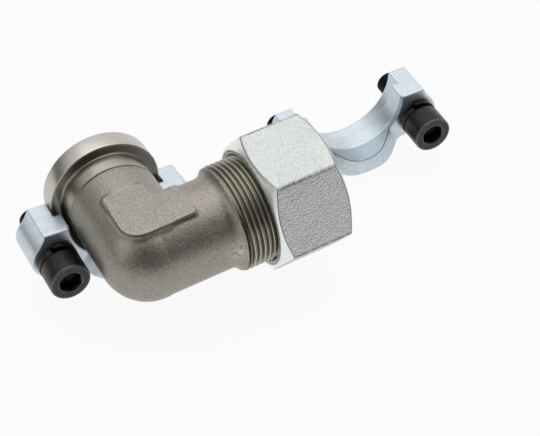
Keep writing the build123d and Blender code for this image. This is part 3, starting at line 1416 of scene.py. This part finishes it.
@dataclass(frozen=True)
class FlangeHalf:
    """One split flange half: stepped bore, two ears and a hub between them; its mating face at y = 0."""

    name: str
    place: Place
    screws: tuple[Side, ...]
    half_spacing: float = 26.2
    hole_drop: float = 13.1
    split_gap: float = 0.85
    recess_radius: float = 22.6
    recess_depth: float = 7.9
    lip_radius: float = 19.65
    lip_end: float = 15.7
    ear_thickness: float = 17.1
    ear_half_width: float = 28.5
    boss_radius: float = 9.4
    outer_radius: float = 29.0
    waist_fillet: float = 5.0
    hub_end: float = 24.0
    hub_bore: float = 20.5
    hub_radius: float = 28.4
    hub_bore_step: float = 0.2
    hub_root: float = 3.0
    hub_edge: float = 1.2
    hub_fillet: float = 0.8
    hub_end_turn: float = 33.0
    hub_end_level: float = 19.45
    hub_end_slope: float = 36.5
    hub_end_blend: float = 2.8
    hole_radius: float = 5.5
    hole_edge: float = 0.4
    bore_edge: float = 0.35
    edge: float = 0.5
    margin: float = 1.5
    split_margin: float = 1.0
    cell: float = 0.35

    def ear(self, side: np.ndarray, z: np.ndarray) -> np.ndarray:
        """Distance to an ear's flank, which runs from the split face's corner to touch the boss.

        Args:
            side: distance from the middle.
            z: height.

        Returns:
            The distance, below zero inside.
        """
        from_boss_x = self.ear_half_width - self.half_spacing
        from_boss_z = self.hole_drop - self.split_gap
        swing = math.acos(self.boss_radius / math.hypot(from_boss_x, from_boss_z))
        touch = math.atan2(from_boss_z, from_boss_x) - swing
        x = side - self.half_spacing
        z = z + self.hole_drop
        flank = x * math.cos(touch) + z * math.sin(touch) - self.boss_radius
        beside = x * math.sin(touch) - z * math.cos(touch)
        return np.maximum(np.maximum(flank, beside), -z)

    def outline(self, x: np.ndarray, z: np.ndarray) -> np.ndarray:
        """Distance to the face outline.

        Args:
            x: distance from the middle, either side.
            z: height.

        Returns:
            The distance, below zero inside.
        """
        side = abs(x)
        boss = np.hypot(side - self.half_spacing, z + self.hole_drop) - self.boss_radius
        belly = np.hypot(x, z) - self.outer_radius
        body = soft_min(belly, np.minimum(boss, self.ear(side, z)), self.waist_fillet)
        return soft_max(body, z + self.split_gap, self.edge)

    def hub_face(self, x: np.ndarray, y: np.ndarray, z: np.ndarray) -> np.ndarray:
        """Distance to the hub's end face, which slopes down to the ear on either side.

        Args:
            x: distance from the middle, either side.
            y: distance from the mating face, below zero in the half.
            z: height.

        Returns:
            The distance, below zero inside.
        """
        turn = math.radians(self.hub_end_turn)
        slope = math.radians(self.hub_end_slope)
        along = abs(x) * math.cos(turn) + z * math.sin(turn)
        sloped = along * math.sin(slope) - (y + self.hub_end_level) * math.cos(slope)
        return soft_max(-y - self.hub_end, sloped, self.hub_end_blend)

    def bore(self, y: np.ndarray, out: np.ndarray) -> np.ndarray:
        """Distance to the stepped bore: the head's recess, the lip and the tapered hub.

        Args:
            y: distance from the mating face, below zero in the half.
            out: distance from the bore's axis.

        Returns:
            The distance, below zero in the bore.
        """
        taper = (self.hub_bore - self.hub_bore_step - self.lip_radius) / (self.hub_end - self.lip_end)
        hub = self.lip_radius + self.hub_bore_step + (-y - self.lip_end) * taper
        bore = np.minimum(out - self.lip_radius, np.maximum(out - hub, y + self.lip_end))
        return np.minimum(bore, np.maximum(out - self.recess_radius, -y - self.recess_depth))

    def shell(self) -> Shell:
        """Shapes the half.

        Returns:
            The uneven skin in the half's own frame.
        """
        wide = self.half_spacing + self.boss_radius + self.margin
        low = (-wide, -self.hub_end - self.margin, -self.outer_radius - self.margin)
        block = CellBlock(low, (wide, self.margin, self.split_margin), self.cell)
        x, y, z = block.axes()
        out = np.hypot(x, z)
        between_faces = abs(y + self.ear_thickness / 2) - self.ear_thickness / 2
        plate = soft_max(self.outline(x, z), between_faces, self.edge)
        hub = soft_max(out - self.hub_radius, self.hub_face(x, y, z), self.hub_edge)
        hub = np.maximum(hub, y + self.ear_thickness - self.hub_root)
        solid = soft_min(plate, hub, self.hub_fillet)
        hole = np.hypot(abs(x) - self.half_spacing, z + self.hole_drop) - self.hole_radius
        solid = soft_max(solid, -self.bore(y, out), self.bore_edge)
        solid = soft_max(solid, -hole, self.hole_edge)
        return block.skin(solid).weathered(depth=0.06, spacing=4.0, seed=23)

    def build(self, zinc: bpy.types.Material, black: bpy.types.Material) -> list[bpy.types.Object]:
        """Makes and dresses the half with its screws and washers.

        Args:
            zinc: finish of the half.
            black: finish of the screws and washers.

        Returns:
            The pieces.
        """
        made = self.shell().to_object(f"{self.name}_half", self.place, 180.0)
        pieces = [dressed(made, zinc, Body.FITTING, Slot.ZINC, f"{self.name}_flange_half")]
        screw = CapScrew()
        washer = LockWasher()
        for side in self.screws:
            label = side.name.lower()
            seat = self.place @ shifted(side.value * self.half_spacing, -self.ear_thickness, -self.hole_drop)
            head_seat = seat @ shifted(y=-washer.height)
            pieces.append(washer.build(f"{self.name}_washer_{label}", seat, black))
            pieces.append(screw.build(f"{self.name}_screw_{label}", head_seat, black))
        return pieces


@dataclass(frozen=True)
class CapScrew:
    """A socket head cap screw along X, its head seat at 0 and its tip ahead."""

    shank_radius: float = 5.0
    shank_root: float = -0.5
    length: float = 29.98
    pitch: float = 1.5
    thread_depth: float = 0.85
    tip_drop: float = 0.3
    tip_slope: float = 1.1
    head_radius: float = 7.9
    head_height: float = 10.0
    head_edge: float = 0.9
    crown_step: float = 0.2
    crown_drop: float = 0.8
    socket_flat: float = 4.0
    socket_depth: float = 5.0
    socket_point: float = 1.0
    socket_taper: float = 0.97
    mouth_step: float = 0.15
    mouth_slope: float = 0.8
    columns: int = 96
    shank_columns: int = 48

    def head_shell(self) -> Shell:
        """Shapes the head with its hexagon socket.

        Returns:
            The shell about X.
        """
        angles = around(self.columns)
        sector = math.radians(60)
        flats = self.socket_flat / np.cos((angles + sector / 2) % sector - sector / 2)
        top = -self.head_height
        floor = top + self.socket_depth
        mouth = self.socket_flat / math.cos(sector / 2) + self.mouth_step
        profiles = []
        for flat in flats:
            profile = [
                (floor + self.socket_point, 0.0, 0.0),
                (floor, flat * self.socket_taper, 0.3),
                (top + (mouth - flat) * self.mouth_slope + 0.1, flat, 0.1),
                (top, mouth, 0.15),
                (top, self.head_radius - self.crown_step, self.head_edge),
                (top + self.crown_drop, self.head_radius, self.head_edge),
                (0.0, self.head_radius, 0.5),
                (0.0, 0.0, 0.0),
            ]
            profiles.append(rounded(profile, False))
        return bridged(turned_rows(np.array(profiles), angles), False)

    def shank_shell(self) -> Shell:
        """Cuts the threaded shank.

        Returns:
            The shell about X.
        """
        angles = around(self.shank_columns)
        root = self.shank_radius - self.thread_depth
        tip = root - self.tip_drop

        def cap(along: np.ndarray) -> np.ndarray:
            """Largest radius, less at the chamfered tip."""
            return np.minimum(self.shank_radius, tip + np.maximum(self.length - along, 0) * self.tip_slope)

        thread = Thread(self.shank_root, self.length, self.pitch, root, self.shank_radius)
        ends = np.array([(self.length, tip), (self.length, 0.0), (self.shank_root, 0.0)])
        return bridged(np.concatenate([thread.rows(cap, angles), turned_rows(ends, angles)]), True)

    def build(self, node: str, seat: Place, black: bpy.types.Material) -> bpy.types.Object:
        """Makes and dresses the screw.

        Args:
            node: CAD node that it stands for.
            seat: where the head's underside lies.
            black: finish.

        Returns:
            The piece.
        """
        shell = self.head_shell() + self.shank_shell()
        made = shell.to_object(f"{node}_cap", seat @ ALONG_Y)
        return dressed(made, black, Body.FITTING, Slot.BLACK, node)


@dataclass(frozen=True)
class LockWasher:
    """A split lock washer along X, sprung open into a helix; its low end is on the flange at 0."""

    thickness: float = 2.49
    rise: float = 2.1
    inner_radius: float = 5.1
    outer_radius: float = 8.0
    gap_turn: float = 12.0
    first_turn: float = 80.0
    edge: float = 0.3
    sections: int = 73

    @property
    def height(self) -> float:
        """How far the screw's head stands off the flange."""
        return self.thickness + self.rise

    def build(self, node: str, seat: Place, black: bpy.types.Material) -> bpy.types.Object:
        """Makes and dresses the washer.

        Args:
            node: CAD node that it stands for.
            seat: where its low end lies on the flange.
            black: finish.

        Returns:
            The piece.
        """
        corners = [
            (0.0, self.inner_radius, self.edge),
            (0.0, self.outer_radius, self.edge),
            (-self.thickness, self.outer_radius, self.edge),
            (-self.thickness, self.inner_radius, self.edge),
        ]
        section = rounded(corners, True)
        turns = np.radians(self.first_turn + np.linspace(0, 360 - self.gap_turn, self.sections))
        lifts = np.linspace(0, self.rise, self.sections)
        rows = [polar(section[:, 0] - lift, section[:, 1], turn) for turn, lift in zip(turns, lifts)]
        count = len(section)
        last = (self.sections - 1) * count
        faces = []
        for low in range(0, last, count):
            for k in range(count):
                after = (k + 1) % count
                faces.append((low + k, low + after, low + count + after, low + count + k))
        faces.append(tuple(range(count))[::-1])
        faces.append(tuple(range(last, last + count)))
        shell = Shell(np.concatenate(rows), faces).outward()
        made = shell.to_object(f"{node}_split", seat @ ALONG_Y)
        return dressed(made, black, Body.FITTING, Slot.BLACK, node)


@dataclass(frozen=True)
class Layout:
    """How the two flange halves lie: one under the flange head, the other by itself past the nut."""

    cradle_back: float = 3.15
    cradle_lean: float = 2.5
    loose_x: float = 110.8
    loose_y: float = 3.9
    loose_turn: float = -3.7
    loose_lean: float = -5.1

    def cradle(self) -> Place:
        """The half that the flange head lies in."""
        return shifted(y=-self.cradle_back) @ about(Axis.Y, self.cradle_lean)

    def loose(self) -> Place:
        """The half that stands by itself."""
        turned = about(Axis.Z, self.loose_turn) @ about(Axis.Y, self.loose_lean)
        return shifted(self.loose_x, self.loose_y) @ turned


def aimed(name: str, data: bpy.types.ID, turn: Sequence[np.ndarray], eye: np.ndarray) -> bpy.types.Object:
    """Makes a camera or a lamp.

    Args:
        name: name of the object.
        data: its camera or lamp.
        turn: its right, up and back directions.
        eye: its place in millimetres.

    Returns:
        The object, linked to the scene.
    """
    matrix = np.eye(4)
    matrix[:3, :3] = np.column_stack(turn)
    matrix[:3, 3] = eye * MM
    made = linked(name, data)
    made.matrix_world = Matrix(matrix.tolist())
    return made


@dataclass(frozen=True)
class Lamp:
    """A soft square lamp: places in millimetres, side in metres, power in watts."""

    name: str
    at: Corner
    side: float
    power: float
    aim: Corner = (50.0, -30.0, 0.0)

    def build(self) -> None:
        """Makes the lamp and turns it to its aim."""
        data = bpy.data.lights.new(self.name, "AREA")
        data.shape = "SQUARE"
        data.size = self.side
        data.energy = self.power
        back = np.subtract(self.at, self.aim)
        back = back / np.linalg.norm(back)
        right = np.cross([0.0, 0.0, 1.0], back)
        right = right / np.linalg.norm(right)
        aimed(self.name, data, (right, np.cross(back, right), back), np.array(self.at))


@dataclass(frozen=True)
class Studio:
    """Camera, pale floor and soft light."""

    elbow: Forging
    image_width: int = 540
    image_height: int = 436
    azimuth: float = -29.22
    elevation: float = 43.84
    roll: float = 0.58
    distance: float = 500.27
    bend_pixel: tuple[float, float] = (146.85, 251.85)
    focal_pixels: float = 1376.25
    sensor: float = 36.0
    floor_size: float = 4.0
    floor_gap: float = 0.0004
    floor_grey: Colour = (0.7, 0.7, 0.7)
    floor_white: float = 0.93
    dark_side: Corner = (-0.42, -0.76, 0.5)
    pale_side: Corner = (0.75, 0.66, 0.0)
    shade: Colour = (0.07, 0.07, 0.07)
    glow: Colour = (0.93, 0.93, 0.93)
    lamps: tuple[Lamp, ...] = (
        Lamp("overhead", (100.0, 120.0, 700.0), 0.9, 1.7),
        Lamp("left_side", (-650.0, -100.0, 350.0), 0.5, 0.6),
    )

    def camera(self) -> None:
        """Sets the camera so that the bend's middle falls on its pixel."""
        a = math.radians(self.azimuth)
        e = math.radians(self.elevation)
        r = math.radians(self.roll)
        back = np.array([math.sin(a) * math.cos(e), -math.cos(a) * math.cos(e), math.sin(e)])
        level = np.array([math.cos(a), math.sin(a), 0.0])
        above = np.cross(back, level)
        right = math.cos(r) * level + math.sin(r) * above
        up = -math.sin(r) * level + math.cos(r) * above
        per_pixel = self.distance / self.focal_pixels
        across = (self.bend_pixel[0] - self.image_width / 2) * per_pixel
        rise = -(self.bend_pixel[1] - self.image_height / 2) * per_pixel
        bend = np.array([0.0, -self.elbow.flange_leg, 0.0])
        eye = bend - across * right - rise * up + self.distance * back
        data = bpy.data.cameras.new("camera")
        data.sensor_width = self.sensor
        data.lens = self.focal_pixels / self.image_width * self.sensor
        data.clip_start = 0.01
        bpy.context.scene.camera = aimed("camera", data, (right, up, back), eye)

    def floor(self) -> None:
        """A pale floor that is white to the camera and keeps a soft shadow."""
        half = self.floor_size / 2
        low = CAD_BOX[0].z - self.floor_gap
        corners = [(-half, -half, low), (half, -half, low), (half, half, low), (-half, half, low)]
        mesh = bpy.data.meshes.new("floor")
        mesh.from_pydata(corners, [], [(0, 1, 2, 3)])
        graph = Graph.of_material("floor_paper")
        plain = graph.value("ShaderNodeBsdfDiffuse", None, Color=self.floor_grey)
        white = graph.value("ShaderNodeEmission", None, Color=(1.0, 1.0, 1.0), Strength=1.0)
        rays = graph.node("ShaderNodeLightPath").outputs
        kinds = ("Is Camera Ray", "Is Glossy Ray", "Is Transmission Ray")
        camera, glossy, through = (Value(graph, rays[kind]) for kind in kinds)
        seen = camera.larger(glossy).larger(through)
        blend = graph.node("ShaderNodeMixShader", None, Fac=seen * self.floor_white, Shader=plain)
        graph.feed(blend.inputs[2], white)
        graph.node("ShaderNodeOutputMaterial", None, Surface=graph.result(blend))
        mesh.materials.append(graph.owner)
        linked("floor", mesh)

    def world(self) -> None:
        """Studio surroundings: pale overhead and behind, dark on the near side."""
        graph = Graph(bpy.data.worlds.new("studio"))
        bpy.context.scene.world = graph.owner
        where = Value(graph, graph.node("ShaderNodeTexCoord").outputs["Generated"])
        above = where.parts()[2].rise(0.1, 0.7) * where.dot(self.dark_side).fall(0.45, 0.85)
        behind = where.dot(self.pale_side).rise(0.25, 0.75)
        tint = graph.mix(above.larger(behind), self.shade, self.glow)
        back = graph.value("ShaderNodeBackground", None, Color=tint, Strength=1.0)
        graph.node("ShaderNodeOutputWorld", None, Surface=back)

    def build(self) -> None:
        """Sets up the whole studio."""
        bpy.context.scene.view_settings.view_transform = "Standard"
        self.camera()
        self.floor()
        self.world()
        for lamp in self.lamps:
            lamp.build()


def main() -> None:
    """Builds the studio and every piece in order, and reports the pieces."""
    logging.basicConfig(level=logging.INFO, format="%(name)s: %(message)s")
    elbow = Forging()
    nut = UnionNut(elbow.leg)
    layout = Layout()
    cradle = FlangeHalf("cradle", layout.cradle(), (Side.LEFT,))
    loose = FlangeHalf("loose", layout.loose(), (Side.LEFT, Side.RIGHT))
    Studio(elbow).build()
    turned = TurnedSteel(elbow.head_radius)
    zinc = HalfZinc(cradle).material()
    black = BlackOxide(CapScrew()).material()
    thread = ThreadSteel(elbow.thread_radius).material()
    pieces = elbow.build(ForgedSkin(elbow).material(), turned.material(), thread)
    pieces.append(FaceSeal().build(SealRubber().material()))
    pieces.append(CuttingRing(elbow.leg).build(replace(turned, name="ring_steel").material()))
    pieces.append(nut.build(NutZinc(nut).material()))
    pieces += cradle.build(zinc, black)
    pieces += loose.build(zinc, black)
    for made in pieces:
        log.info("%s: %d faces", made.name, len(made.data.polygons))


if __name__ == "__main__":
    main()
